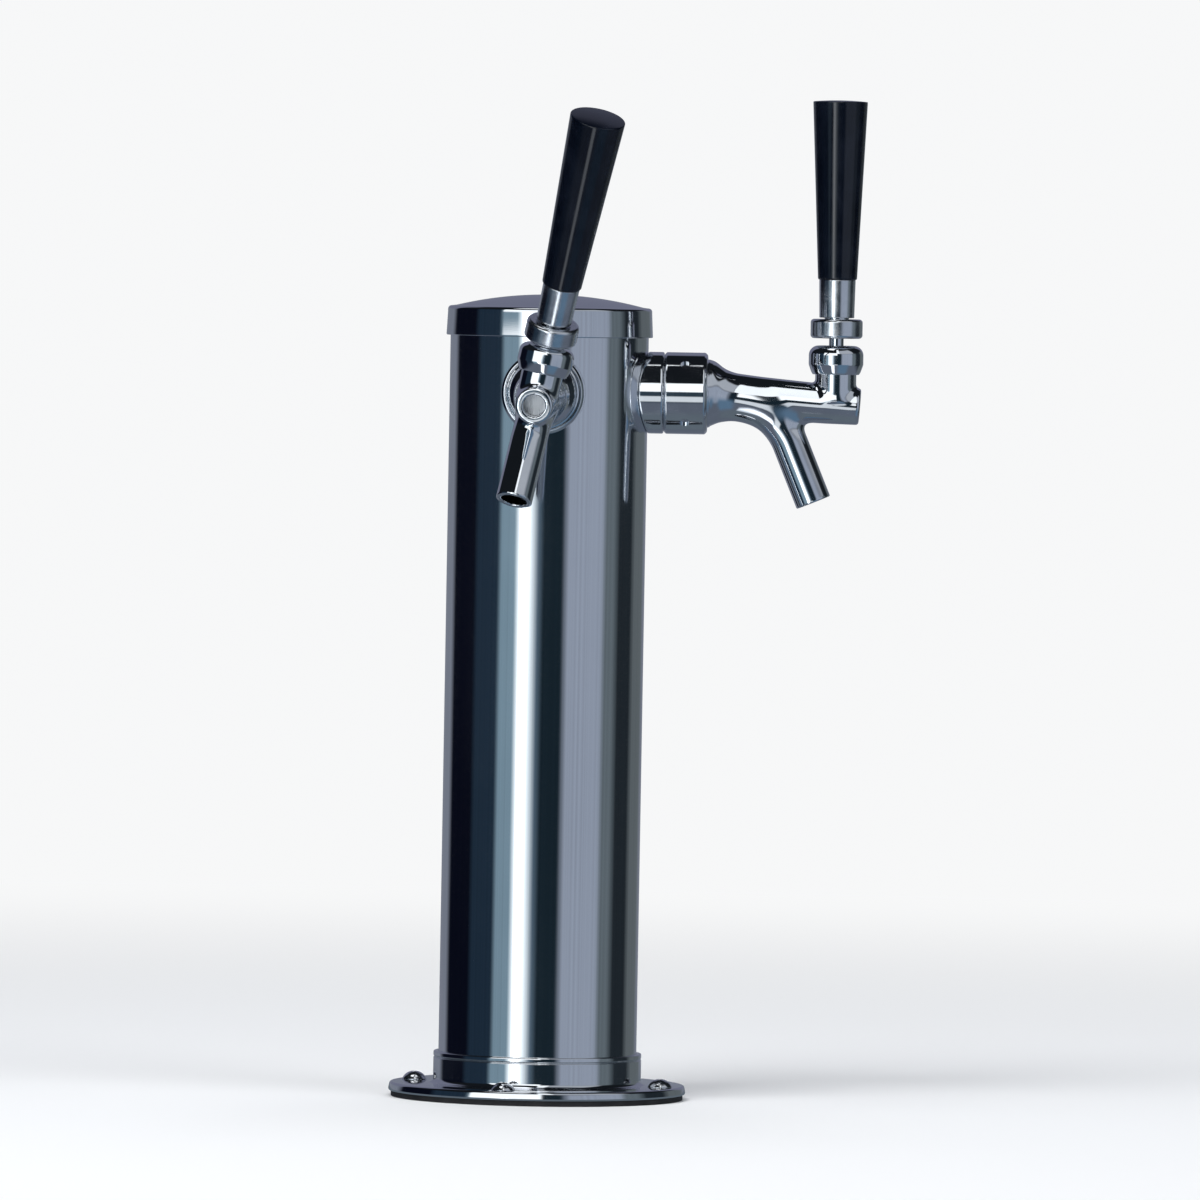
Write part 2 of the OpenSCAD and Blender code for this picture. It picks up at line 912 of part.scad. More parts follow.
module handle_grip() {
    foot_r = grip_foot_d / 2;
    top_r = grip_top_d / 2;
    edge_r = 1;
    top = grip_foot + grip_len;
    bore_r = insert_r + fit;
    color(grip_black)
        at_lever()
            rotate_extrude()
                polygon(concat(
                    [[bore_r, grip_foot], [foot_r - 0.5, grip_foot], [foot_r, grip_foot + 0.5]],
                    [for (a = [0 : 22.5 : 90]) [top_r - edge_r, top - edge_r] + on_arc(edge_r, a)],
                    [[0, top], [0, grip_foot + insert_len + 1], [bore_r, grip_foot + insert_len + 1]]
                ));
}

base_gasket();
base_flange();
mounting_screws();
column();
cap();
top_insulation();
insulation_sleeve();

for (side = SIDES) {
    at_shank(side) shank();
    at_shank(side) shank_collar();
    at_shank(side) inner_spacer();
    at_shank(side) locknut();
    at_shank(side) coupling_nut();
    at_shank(side) slip_washer();
    at_shank(side) faucet_washer();
    at_shank(side) tail_washer();
    at_shank(side) tail_nut();
    at_shank(side) tailpiece();
    at_shank(side) beer_line();
    at_shank(side) line_barb();
    at_faucet(side) faucet_body();
    at_faucet(side) ball_washer();
    at_faucet(side) friction_washer();
    at_faucet(side) bonnet();
    at_faucet(side) at_opening(side) plunger();
    at_faucet(side) at_opening(side) seat_washer();
    at_faucet(side) at_opening(side) seat_screw();
    at_faucet(side) at_pull(side) lever();
    at_faucet(side) at_pull(side) lever_collar();
    at_faucet(side) at_pull(side) handle_ferrule();
    at_faucet(side) at_pull(side) handle_insert();
    at_faucet(side) at_pull(side) handle_grip();
}
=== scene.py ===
"""Looks of the two-faucet beer tap tower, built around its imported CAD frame.

Metres, +Z up the column, -Y between the two faucets. Lengths named *_MM are millimetres.
"""

import json
import math

import bmesh
import bpy
import numpy as np
from mathutils import Matrix, Vector


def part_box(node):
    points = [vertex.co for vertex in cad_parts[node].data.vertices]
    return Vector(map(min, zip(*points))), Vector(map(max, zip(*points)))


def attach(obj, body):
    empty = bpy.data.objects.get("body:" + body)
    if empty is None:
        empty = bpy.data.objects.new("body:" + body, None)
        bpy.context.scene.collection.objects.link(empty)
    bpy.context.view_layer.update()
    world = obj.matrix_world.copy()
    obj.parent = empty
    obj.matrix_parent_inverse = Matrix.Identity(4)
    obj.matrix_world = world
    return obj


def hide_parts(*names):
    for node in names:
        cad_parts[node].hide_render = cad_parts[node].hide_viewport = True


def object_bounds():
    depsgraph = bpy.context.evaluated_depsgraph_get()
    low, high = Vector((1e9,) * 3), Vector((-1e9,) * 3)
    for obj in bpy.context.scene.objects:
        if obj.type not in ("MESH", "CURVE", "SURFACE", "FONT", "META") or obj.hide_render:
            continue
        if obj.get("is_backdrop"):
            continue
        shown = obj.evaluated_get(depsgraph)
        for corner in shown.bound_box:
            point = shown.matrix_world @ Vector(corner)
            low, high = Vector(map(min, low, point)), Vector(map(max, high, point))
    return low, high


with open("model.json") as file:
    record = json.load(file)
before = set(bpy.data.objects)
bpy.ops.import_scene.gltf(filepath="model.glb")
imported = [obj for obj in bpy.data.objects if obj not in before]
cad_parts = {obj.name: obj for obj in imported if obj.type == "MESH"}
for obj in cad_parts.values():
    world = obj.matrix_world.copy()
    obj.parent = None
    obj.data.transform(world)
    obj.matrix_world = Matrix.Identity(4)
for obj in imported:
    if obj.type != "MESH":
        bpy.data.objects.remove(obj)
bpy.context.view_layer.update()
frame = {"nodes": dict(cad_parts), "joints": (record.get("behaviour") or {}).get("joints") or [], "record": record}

MM = 0.001
SIDES = ("left", "right")
SEGMENTS = 192

SCREW_HOLE_R_MM = 2.75
FIRST_SCREW_DEGREES = 32
COLUMN_R_MM = 38.1
COLUMN_FIT_MM = 0.05
WALL_MM = 1.5

# Driving lengths of a faucet: u runs out along the shank, z up from its axis.
SHANK_HEIGHT_MM = 272.0
LEVER_U_MM = 110.2
BALL_HEIGHT_MM = 12.0
COUPLING_BACK_MM = 44.4
COUPLING_FRONT_MM = 61.0
COUPLING_R_MM = 15.7
SHANK_R_MM = 11.1
SHANK_PLAY_MM = 0.2
BARREL_U_MM = 62.0
BARREL_LENGTH_MM = 57.8
BARREL_DROOP = math.radians(4.0)
SPOUT_START_MM = (68.0, -2.0)
SPOUT_BEND_R_MM = 27.4
SPOUT_TURN = math.radians(67.5)
SPOUT_STRAIGHT_MM = 24.0
SPOUT_R_MM = 6.9
SPOUT_BORE_R_MM = 5.0
BOSS_R_MM = 7.9
BOSS_TOP_MM = 14.0
STUD_BORE_R_MM = 4.8
GRIP_FOOT_MM = 44.6
GRIP_TOP_MM = 113.5


# Where each faucet stands, from its lever's hinge


def hinge_of(side):
    return next(j for j in frame["joints"] if j["name"] == f"{side}_lever_pull")


def faucet_matrix(side):
    """Takes faucet coordinates in mm (u out along the shank, v across, z up) to the part in metres."""
    joint = hinge_of(side)
    ball = Vector(joint["pos_m"])
    across = Vector(joint["axis"]).normalized()
    out = across.cross(Vector((0, 0, 1))).normalized()
    up = out.cross(across)
    origin = ball - out * LEVER_U_MM * MM - up * BALL_HEIGHT_MM * MM
    matrix = Matrix((out, across, up)).transposed().to_4x4() * MM
    matrix.translation = origin
    matrix[3][3] = 1.0
    return matrix


def pulled(side):
    """Swings a lever about its ball to where it stands at rest, from its closed stop."""
    angle = -math.radians(hinge_of(side)["range_deg"][0])
    ball = Matrix.Translation((LEVER_U_MM, 0, BALL_HEIGHT_MM))
    return ball @ Matrix.Rotation(angle, 4, "Y") @ Matrix.Translation((0, 0, -BALL_HEIGHT_MM))


def lever_matrix(side):
    """Places lever pieces, which are turned about an upright lever's axis."""
    return faucet_matrix(side) @ pulled(side)


AXIS_U = Matrix(((0, 0, 1, 0), (0, 1, 0, 0), (-1, 0, 0, 0), (0, 0, 0, 1)))  # +Z of a lathe to +u
AT_LEVER = Matrix.Translation((LEVER_U_MM, 0, 0))
UPRIGHT = Matrix.Scale(MM, 4)


# Mesh helpers


def soften(outline, radius, steps=4):
    """The closed outline with its corners rounded, and a holding point beyond each round."""
    points = [Vector(p) for p in outline]
    result = []
    for i, corner in enumerate(points):
        back = points[i - 1] - corner
        on = points[(i + 1) % len(points)] - corner
        turn = math.pi - back.angle(on, math.pi)
        on_axis = corner.x < 1e-6
        if turn < math.radians(12) or on_axis:
            result.append(corner)
            continue
        reach = min(radius, 0.4 * back.length, 0.4 * on.length)
        start = corner + back.normalized() * reach
        end = corner + on.normalized() * reach
        if back.length > 4 * reach:
            result.append(corner + back.normalized() * reach * 1.5)
        for k in range(steps + 1):
            t = k / steps
            result.append(start * (1 - t) ** 2 + corner * 2 * t * (1 - t) + end * t**2)
        if on.length > 4 * reach:
            result.append(corner + on.normalized() * reach * 1.5)
    return result


def arc(centre, radius, start, end, steps):
    """Points along a circle from one angle to another, in degrees."""
    angles = np.radians(np.linspace(start, end, steps + 1))
    return [(centre[0] + radius * math.cos(a), centre[1] + radius * math.sin(a)) for a in angles]


def build(name, vertices, faces, matrix):
    mesh = bpy.data.meshes.new(name)
    mesh.from_pydata([tuple(v) for v in vertices], [], faces)
    mesh.transform(matrix)
    work = bmesh.new()
    work.from_mesh(mesh)
    bmesh.ops.recalc_face_normals(work, faces=work.faces)
    work.to_mesh(mesh)
    work.free()
    mesh.shade_smooth()
    piece = bpy.data.objects.new(name, mesh)
    bpy.context.collection.objects.link(piece)
    return piece


def lathe(name, outline, matrix, segments=SEGMENTS, warp=None):
    """Turns a closed outline of (radius, height) about the lathe's Z axis.

    warp, if given, takes and returns the arrays x, y, z of one ring.
    """
    turns = np.linspace(0, 2 * math.pi, segments, endpoint=False)
    vertices, rings = [], []
    for radius, height in outline:
        if radius < 1e-6:
            rings.append([len(vertices)])
            vertices.append((0, 0, height))
            continue
        ring = np.stack([radius * np.cos(turns), radius * np.sin(turns), np.full(segments, height)])
        if warp:
            ring = np.stack(warp(*ring))
        rings.append(range(len(vertices), len(vertices) + segments))
        vertices.extend(ring.T)
    faces = []
    for a, b in zip(rings, rings[1:] + rings[:1]):
        if len(a) == 1 and len(b) == 1:
            continue
        for k in range(segments):
            n = (k + 1) % segments
            if len(a) == 1:
                faces.append((a[0], b[k], b[n]))
            elif len(b) == 1:
                faces.append((a[k], a[n], b[0]))
            else:
                faces.append((a[k], a[n], b[n], b[k]))
    return build(name, vertices, faces, matrix)


def cut(piece, cutter, sharp_degrees=30):
    """Takes the cutter out of the piece for good."""
    modifier = piece.modifiers.new("cut", "BOOLEAN")
    modifier.object = cutter
    modifier.solver = "EXACT"
    graph = bpy.context.evaluated_depsgraph_get()
    whole = piece.data
    piece.data = bpy.data.meshes.new_from_object(piece.evaluated_get(graph))
    piece.modifiers.clear()
    bpy.data.meshes.remove(whole)
    bpy.data.objects.remove(cutter)
    piece.data.shade_smooth()
    piece.data.set_sharp_from_angle(angle=math.radians(sharp_degrees))


def rod(radius, start, end, matrix, segments=64):
    """A plain cylinder, used as a cutter."""
    outline = [(0, start), (radius, start), (radius, end), (0, end)]
    return lathe("cutter", outline, matrix, segments)


def joined(pieces, name):
    """One piece from several."""
    work = bmesh.new()
    for piece in pieces:
        work.from_mesh(piece.data)
        bpy.data.objects.remove(piece)
    mesh = bpy.data.meshes.new(name)
    work.to_mesh(mesh)
    work.free()
    mesh.shade_smooth()
    whole = bpy.data.objects.new(name, mesh)
    bpy.context.collection.objects.link(whole)
    return whole


# Smooth casting: a distance field and its zero surface


def smooth_max(a, b, blend):
    """The larger of two fields, with a round of about the blend's size where they cross."""
    mix = np.clip(0.5 + 0.5 * (a - b) / blend, 0, 1)
    return b * (1 - mix) + a * mix + blend * mix * (1 - mix)


def smooth_min(a, b, blend):
    return -smooth_max(-a, -b, blend)


def along_barrel(u, z):
    """Distance along the drooping barrel's axis from the coupling nut, and height above that axis."""
    du = u - BARREL_U_MM
    cos, sin = math.cos(BARREL_DROOP), math.sin(BARREL_DROOP)
    return du * cos - z * sin, du * sin + z * cos


def round_bar(radius_field, start_field, end_field, blend=0.5):
    """A bar from its distance past its side and past each end, with rounded edges."""
    return smooth_max(radius_field, smooth_max(start_field, end_field, blend), blend)


def barrel_profile():
    """Stations along the barrel and its radius there, as one smooth curve."""
    spacing, window = 0.25, 11
    stations = np.arange(-8, 64, spacing)
    corners = (-3.0, 0.5, 5.0, 9.5, 15.0, 30.0, 45.0, 54.0, 58.0)
    radii = (13.0, 13.0, 9.9, 8.5, 8.3, 7.95, 7.6, 7.2, 7.0)
    radius = np.interp(stations, corners, radii)
    for _ in range(2):
        radius = np.convolve(np.pad(radius, window // 2, "edge"), np.full(window, 1 / window), "valid")
    return stations, radius


BARREL_PROFILE = barrel_profile()


def barrel_field(u, v, z):
    s, h = along_barrel(u, z)
    radius = np.interp(s, *BARREL_PROFILE)
    return round_bar(np.hypot(h, v) - radius, -2.0 - s, s - BARREL_LENGTH_MM, 1.2)


def spout_line(u, z):
    """Distance in the faucet's mid plane from the spout's centre line, and distance past its tip."""
    cu, cz = SPOUT_START_MM[0], SPOUT_START_MM[1] - SPOUT_BEND_R_MM
    du, dz = u - cu, z - cz
    angle = np.arctan2(dz, du)
    end_angle = math.pi / 2 - SPOUT_TURN
    on_bend = np.abs(np.hypot(du, dz) - SPOUT_BEND_R_MM)
    before = np.hypot(du, dz - SPOUT_BEND_R_MM)
    far = 1e3
    bend = np.where(angle > math.pi / 2, before, np.where(angle < end_angle, far, on_bend))
    eu = cu + SPOUT_BEND_R_MM * math.cos(end_angle)
    ez = cz + SPOUT_BEND_R_MM * math.sin(end_angle)
    du, dz = math.sin(end_angle), -math.cos(end_angle)
    past_bend = (u - eu) * du + (z - ez) * dz
    aside = np.abs((u - eu) * dz - (z - ez) * du)
    straight = np.where(past_bend < 0, far, aside)
    return np.minimum(bend, straight), past_bend - SPOUT_STRAIGHT_MM


def body_outside(u, v, z):
    """Barrel, spout, lever boss and the collar that the coupling nut pulls on."""
    from_line, past_tip = spout_line(u, z)
    from_shank = np.hypot(v, z)
    spout = np.hypot(from_line, v) - SPOUT_R_MM
    boss = round_bar(np.hypot(u - LEVER_U_MM, v) - BOSS_R_MM, -2.0 - z, z - BOSS_TOP_MM)
    shell = smooth_min(barrel_field(u, v, z), spout, 5.0)
    shell = smooth_min(shell, boss, 1.6)
    shell = smooth_max(shell, past_tip, 0.5)
    rear = round_bar(from_shank - 14.0, 49.8 - u, u - COUPLING_FRONT_MM)
    collar = round_bar(from_shank - 13.0, 60.0 - u, u - BARREL_U_MM)
    return smooth_min(shell, smooth_min(rear, collar, 0.4), 0.4)


def body_hollows(u, v, z):
    """Every space inside the casting, from the shank's socket to the spout's tip."""
    s, h = along_barrel(u, z)
    from_line, _ = spout_line(u, z)
    from_shank, from_barrel, from_boss = np.hypot(v, z), np.hypot(h, v), np.hypot(u - LEVER_U_MM, v)
    nose_slot = np.maximum(np.abs(u - LEVER_U_MM + 2.1) - 5.1, np.abs(z - 1.4) - 4.8)
    hollows = (
        np.maximum(from_shank - 10.7, u - 52.3),  # spline socket
        np.maximum(from_shank - 8.4, np.maximum(u - 61.0, 49.0 - u)),  # chamber
        round_bar(from_barrel - 7.6, -3.0 - s, s - 4.5),  # room for the valve
        round_bar(from_barrel - 5.0, 0.0 - s, s - 8.0),  # the valve's orifice
        round_bar(from_barrel - 6.0, 7.0 - s, s - 22.0),  # flow space
        np.maximum(from_barrel - 4.2, 21.0 - s),  # the plunger's bore
        np.hypot(from_line, v) - SPOUT_BORE_R_MM,  # spout
        round_bar(from_boss - 6.75, 5.4 - z, z - 20.0),  # the ball's cup
        np.maximum(np.abs(v) - 2.6, nose_slot),  # slot for the lever's nose
    )
    return np.minimum.reduce(np.broadcast_arrays(*hollows))


def body_field(u, v, z):
    """Signed distance, in mm, to the faucet body's casting."""
    return smooth_max(body_outside(u, v, z), -body_hollows(u, v, z), 0.35)


CUBE_CORNERS = [(i, j, k) for i in (0, 1) for j in (0, 1) for k in (0, 1)]


def crossed_cells(inside):
    """Grid cells that the surface passes through, and each cell's number in that list."""
    size = np.array(inside.shape) - 1
    count = np.zeros(size, np.int8)
    for i, j, k in CUBE_CORNERS:
        count += inside[i : i + size[0], j : j + size[1], k : k + size[2]]
    cells = np.argwhere((count > 0) & (count < 8))
    numbers = np.full(size, -1, np.int32)
    numbers[tuple(cells.T)] = np.arange(len(cells))
    return cells, numbers


def middle_of_crossings(values, cells):
    """Mean of the points where the surface crosses each cell's edges, in grid steps."""
    total = np.zeros((len(cells), 3))
    crossings = np.zeros((len(cells), 1))
    for corner in CUBE_CORNERS:
        for axis in range(3):
            if corner[axis]:
                continue
            other = list(corner)
            other[axis] = 1
            near = values[tuple((cells + corner).T)]
            far = values[tuple((cells + other).T)]
            crossed = (near < 0) != (far < 0)
            t = np.where(crossed, near / np.where(crossed, near - far, 1), 0)
            place = np.tile(np.array(corner, float), (len(cells), 1))
            place[:, axis] = t
            total += place * crossed[:, None]
            crossings += crossed[:, None]
    return cells + total / crossings


def faces_across(axis, inside, numbers):
    """One quad for each grid edge along the axis that the surface crosses."""
    b, c = (axis + 1) % 3, (axis + 2) % 3
    here = [slice(None)] * 3
    there = [slice(None)] * 3
    here[axis], there[axis] = slice(None, -1), slice(1, None)
    edges = np.argwhere(inside[tuple(here)] != inside[tuple(there)])
    for side in (b, c):
        within = (edges[:, side] > 0) & (edges[:, side] < numbers.shape[side])
        edges = edges[within]
    ring = []
    for back_b, back_c in ((1, 1), (0, 1), (0, 0), (1, 0)):
        cell = edges.copy()
        cell[:, b] -= back_b
        cell[:, c] -= back_c
        ring.append(numbers[tuple(cell.T)])
    quad = np.stack(ring, 1)
    outward = inside[tuple(edges.T)]
    return np.where(outward[:, None], quad, quad[:, ::-1])


def surface_net(field, low, high, step):
    """Vertices and quads of the field's zero surface: one vertex in each cell that it crosses."""
    axes = [np.arange(a, b + step, step) for a, b in zip(low, high)]
    values = field(*np.meshgrid(*axes, indexing="ij", sparse=True))
    inside = values < 0
    cells, numbers = crossed_cells(inside)
    vertices = middle_of_crossings(values, cells) * step + np.array(low)
    quads = [faces_across(axis, inside, numbers) for axis in range(3)]
    return pull_to_surface(field, vertices), np.concatenate(quads)


def pull_to_surface(field, vertices, rounds=3):
    """Steps each vertex down the field's slope until it lies on the zero surface."""
    nudge, longest, flattest = 1e-3, 0.2, 0.2
    for _ in range(rounds):
        value = field(*vertices.T)
        slope = np.stack([(field(*(vertices + nudge * e).T) - value) / nudge for e in np.eye(3)], 1)
        steep = np.maximum((slope**2).sum(1, keepdims=True), flattest)
        vertices = vertices - np.clip(value[:, None] * slope / steep, -longest, longest)
    return vertices


# Materials


class Nodes:
    """A short way to write a material's node tree."""

    def __init__(self, name, base, metallic=0.0, roughness=0.5):
        self.material = bpy.data.materials.new(name)
        self.material.use_nodes = True
        self.tree = self.material.node_tree
        self.shader = self.tree.nodes["Principled BSDF"]
        self.set("Base Color", (*base, 1))
        self.set("Metallic", metallic)
        self.set("Roughness", roughness)
        self.place = self.tree.nodes.new("ShaderNodeTexCoord").outputs["Object"]

    def set(self, socket, value):
        self.shader.inputs[socket].default_value = value

    def link(self, output, node_input):
        self.tree.links.new(output, node_input)

    def stretched(self, scale):
        mapping = self.tree.nodes.new("ShaderNodeMapping")
        mapping.inputs["Scale"].default_value = scale
        self.link(self.place, mapping.inputs["Vector"])
        return mapping.outputs["Vector"]

    def noise(self, scale, detail=3.0, stretch=(1, 1, 1), distortion=0.0):
        node = self.tree.nodes.new("ShaderNodeTexNoise")
        node.inputs["Scale"].default_value = scale
        node.inputs["Detail"].default_value = detail
        node.inputs["Distortion"].default_value = distortion
        self.link(self.stretched(stretch), node.inputs["Vector"])
        return node.outputs["Fac"]

    def cells(self, scale, stretch=(1, 1, 1)):
        node = self.tree.nodes.new("ShaderNodeTexVoronoi")
        node.inputs["Scale"].default_value = scale
        self.link(self.stretched(stretch), node.inputs["Vector"])
        return node.outputs["Distance"]

    def span(self, value, low, high, start=0.35, end=0.65):
        """Maps a texture's start..end to low..high."""
        node = self.tree.nodes.new("ShaderNodeMapRange")
        for key, number in (("From Min", start), ("From Max", end), ("To Min", low), ("To Max", high)):
            node.inputs[key].default_value = number
        self.link(value, node.inputs["Value"])
        return node.outputs["Result"]

    def colours(self, value, dark, light, start=0.35, end=0.65):
        ramp = self.tree.nodes.new("ShaderNodeValToRGB")
        ramp.color_ramp.elements[0].position = start
        ramp.color_ramp.elements[0].color = (*dark, 1)
        ramp.color_ramp.elements[1].position = end
        ramp.color_ramp.elements[1].color = (*light, 1)
        self.link(value, ramp.inputs["Fac"])
        self.link(ramp.outputs["Color"], self.shader.inputs["Base Color"])

    def rough(self, value, low, high, start=0.35, end=0.65):
        self.link(self.span(value, low, high, start, end), self.shader.inputs["Roughness"])

    def bump(self, *layers):
        """Each layer is a texture and its height in millimetres."""
        normal = None
        for height, depth_mm in layers:
            node = self.tree.nodes.new("ShaderNodeBump")
            node.inputs["Distance"].default_value = depth_mm * MM
            self.link(height, node.inputs["Height"])
            if normal:
                self.link(normal, node.inputs["Normal"])
            normal = node.outputs["Normal"]
        self.link(normal, self.shader.inputs["Normal"])


def polished_steel():
    """Mirror-polished stainless: faint polishing marks, wiping haze and a slow ripple."""
    m = Nodes("polished_steel", (0.80, 0.82, 0.85), metallic=1.0)
    haze = m.noise(18, 5, stretch=(1, 1, 0.5), distortion=0.6)
    m.colours(haze, (0.73, 0.75, 0.78), (0.80, 0.82, 0.85), 0.3, 0.7)
    m.rough(haze, 0.035, 0.10, 0.3, 0.75)
    m.bump((m.noise(260, 2, stretch=(1, 1, 14)), 0.0012), (m.noise(9, 1, stretch=(1, 1, 0.25)), 0.02))
    return m.material


def chrome():
    """Bright plate over a casting: small waviness from the brass under it, and light water marks."""
    m = Nodes("chrome", (0.83, 0.85, 0.88), metallic=1.0)
    marks = m.noise(95, 4, distortion=0.8)
    m.colours(marks, (0.76, 0.78, 0.81), (0.84, 0.86, 0.89), 0.3, 0.7)
    m.rough(marks, 0.03, 0.10, 0.35, 0.8)
    m.bump((m.noise(120, 2), 0.012), (m.noise(900, 2), 0.0008))
    return m.material


def satin_chrome():
    """Plate over turned steel: fine lines around the piece spread what it mirrors."""
    m = Nodes("satin_chrome", (0.82, 0.84, 0.87), metallic=1.0)
    marks = m.noise(140, 4, distortion=0.5)
    m.colours(marks, (0.72, 0.74, 0.77), (0.84, 0.86, 0.89), 0.3, 0.7)
    m.rough(marks, 0.16, 0.28, 0.3, 0.75)
    m.bump((m.noise(1500, 2, stretch=(1, 1, 0.08)), 0.004), (m.noise(160, 2), 0.01))
    return m.material


def screw_steel():
    """Bright plated steel with a fine grain."""
    m = Nodes("screw_steel", (0.70, 0.71, 0.73), metallic=1.0)
    grain = m.noise(700, 3)
    m.colours(grain, (0.78, 0.79, 0.81), (0.90, 0.91, 0.93))
    m.rough(grain, 0.12, 0.22)
    m.bump((grain, 0.004))
    return m.material


def line_steel():
    """Drawn stainless tube with long die lines."""
    m = Nodes("line_steel", (0.62, 0.63, 0.65), metallic=1.0)
    lines = m.noise(900, 2, stretch=(1, 1, 0.03))
    m.colours(lines, (0.52, 0.53, 0.55), (0.68, 0.69, 0.71))
    m.rough(lines, 0.22, 0.38)
    m.bump((lines, 0.004))
    return m.material


def cast_zinc():
    """Raw die casting with a coarse matt skin."""
    m = Nodes("cast_zinc", (0.50, 0.51, 0.53), metallic=1.0)
    grain = m.noise(600, 5)
    m.colours(grain, (0.42, 0.43, 0.45), (0.56, 0.57, 0.59))
    m.rough(grain, 0.38, 0.6)
    m.bump((grain, 0.03))
    return m.material


def brass():
    """Machined brass with tarnish in patches and fine tool marks."""
    m = Nodes("brass", (0.70, 0.52, 0.25), metallic=1.0)
    tarnish = m.noise(140, 5, distortion=1.0)
    m.colours(tarnish, (0.45, 0.30, 0.13), (0.76, 0.58, 0.29), 0.25, 0.6)
    m.rough(tarnish, 0.2, 0.45)
    m.bump((m.noise(1500, 2, stretch=(1, 1, 6)), 0.004))
    return m.material


def rubber(name, base, lift):
    """Matt rubber with a moulded grain and a dusty bloom."""
    m = Nodes(name, base, roughness=0.75)
    bloom = m.noise(160, 4)
    m.colours(bloom, base, tuple(c + lift for c in base))
    m.rough(bloom, 0.6, 0.85)
    m.bump((m.noise(2200, 3), 0.02))
    return m.material


def nylon():
    """Natural nylon, a little cloudy."""
    m = Nodes("nylon", (0.82, 0.81, 0.76), roughness=0.45)
    cloud = m.noise(300, 3)
    m.colours(cloud, (0.76, 0.75, 0.69), (0.85, 0.84, 0.79))
    m.rough(cloud, 0.4, 0.55)
    m.bump((m.noise(2000, 2), 0.005))
    return m.material


def foam():
    """Open-cell foam: pores as cells, with painted shade darkening their hollows, over a slow change of roughness.
    """
    m = Nodes("foam", (0.72, 0.69, 0.60), roughness=0.95)
    pores = m.cells(900)
    # Painted shade: the middle of each pore is painted darker, where the bump below sinks it
    m.colours(pores, (0.52, 0.49, 0.41), (0.78, 0.75, 0.66), 0.1, 0.5)
    m.rough(m.noise(200), 0.88, 1.0)
    m.bump((pores, 0.5))
    return m.material


def black_grip():
    """Glossy moulded phenolic: deep black, a faint orange peel and soft handling haze."""
    m = Nodes("black_grip", (0.003, 0.004, 0.008), roughness=0.16)
    haze = m.noise(70, 5, distortion=0.5)
    m.colours(haze, (0.0015, 0.0025, 0.006), (0.004, 0.006, 0.012))
    m.rough(haze, 0.09, 0.20, 0.3, 0.75)
    m.bump((m.noise(320, 2), 0.006), (m.noise(2600, 2, stretch=(1, 1, 0.15)), 0.0006))
    m.set("IOR", 1.45)
    m.set("Coat Weight", 0.15)
    m.set("Coat Roughness", 0.04)
    return m.material


MATERIALS = {
    "polished_steel": polished_steel(),
    "chrome": chrome(),
    "satin_chrome": satin_chrome(),
    "screw_steel": screw_steel(),
    "line_steel": line_steel(),
    "cast_zinc": cast_zinc(),
    "brass": brass(),
    "rubber": rubber("rubber", (0.012, 0.012, 0.014), 0.012),
    "seal_rubber": rubber("seal_rubber", (0.018, 0.018, 0.020), 0.016),
    "nylon": nylon(),
    "foam": foam(),
    "black_grip": black_grip(),
}


def finish_piece(piece, slot, body, *nodes, look=None):
    """Gives a piece its material, its body and the CAD nodes that it stands for."""
    piece.data.materials.clear()
    piece.data.materials.append(MATERIALS[look or slot])
    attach(piece, body)
    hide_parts(*nodes)


# Base, column and cap


DISC_MM = 3.5


def base_flange():
    """Turned flange: disc with a rim that leans in, a fillet, and a neck with a groove under its top."""
    low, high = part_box("base_flange")
    foot, top = low[2] / MM, high[2] / MM
    rim_r = (high[0] - low[0]) / 2 / MM
    socket_r = COLUMN_R_MM + COLUMN_FIT_MM
    throat_r, neck_r, ledge = 33.0, 40.0, 4.0
    rim_foot, rim_top, lean_in, lean_degrees = 0.8, 1.1, 0.25, 9
    groove_r, fillet = neck_r - 0.35, 2
    disc_top = foot + DISC_MM
    outline = [(throat_r, foot)]
    outline += arc((rim_r - rim_foot, foot + rim_foot), rim_foot, -90, lean_degrees, 9)
    outline += arc((rim_r - lean_in - rim_top, disc_top - rim_top), rim_top, lean_degrees, 90, 9)
    outline += arc((neck_r + fillet, disc_top + fillet), fillet, 270, 180, 10)
    outline += [
        (neck_r, top - 2.4),
        (groove_r, top - 2.2),
        (groove_r, top - 1.9),
        (neck_r, top - 1.7),
        (neck_r, top),
        (socket_r, top),
        (socket_r, ledge),
        (throat_r, ledge),
    ]
    piece = lathe("flange", soften(outline, 0.5), UPRIGHT, 256)
    for angle in screw_angles():
        cut(piece, rod(SCREW_HOLE_R_MM, -1, 12, UPRIGHT @ at_screw(angle)))
    finish_piece(piece, "polished_steel", "tower", "base_flange")


def screw_mount():
    return next(m for m in frame["record"]["mounts"] if m["name"] == "counter_screws")


def screw_angles():
    """Plan angles of the mounting screws, in degrees."""
    count = screw_mount()["dims"]["count"]
    return [FIRST_SCREW_DEGREES + 360 / count * k for k in range(count)]


def at_screw(angle):
    circle_r = screw_mount()["dims"]["pcd_mm"] / 2
    return Matrix.Rotation(math.radians(angle), 4, "Z") @ Matrix.Translation((circle_r, 0, 0))


def screw_thread(x, y, z):
    """Presses a sharp wood-screw thread into the rings of a screw's shank, below the counter."""
    pitch, depth, start, end = 1.8, 0.55, -0.1, -13.2
    turn = np.arctan2(y, x) / (2 * math.pi)
    phase = np.mod(z / pitch - turn, 1)
    groove = depth * np.clip(np.abs(phase - 0.5) * 2.6, 0, 1)
    groove = np.where((z < start) & (z > end), groove, 0)
    radius = np.hypot(x, y)
    scale = np.maximum(radius - groove, 0.25) / np.maximum(radius, 1e-6)
    return x * scale, y * scale, z


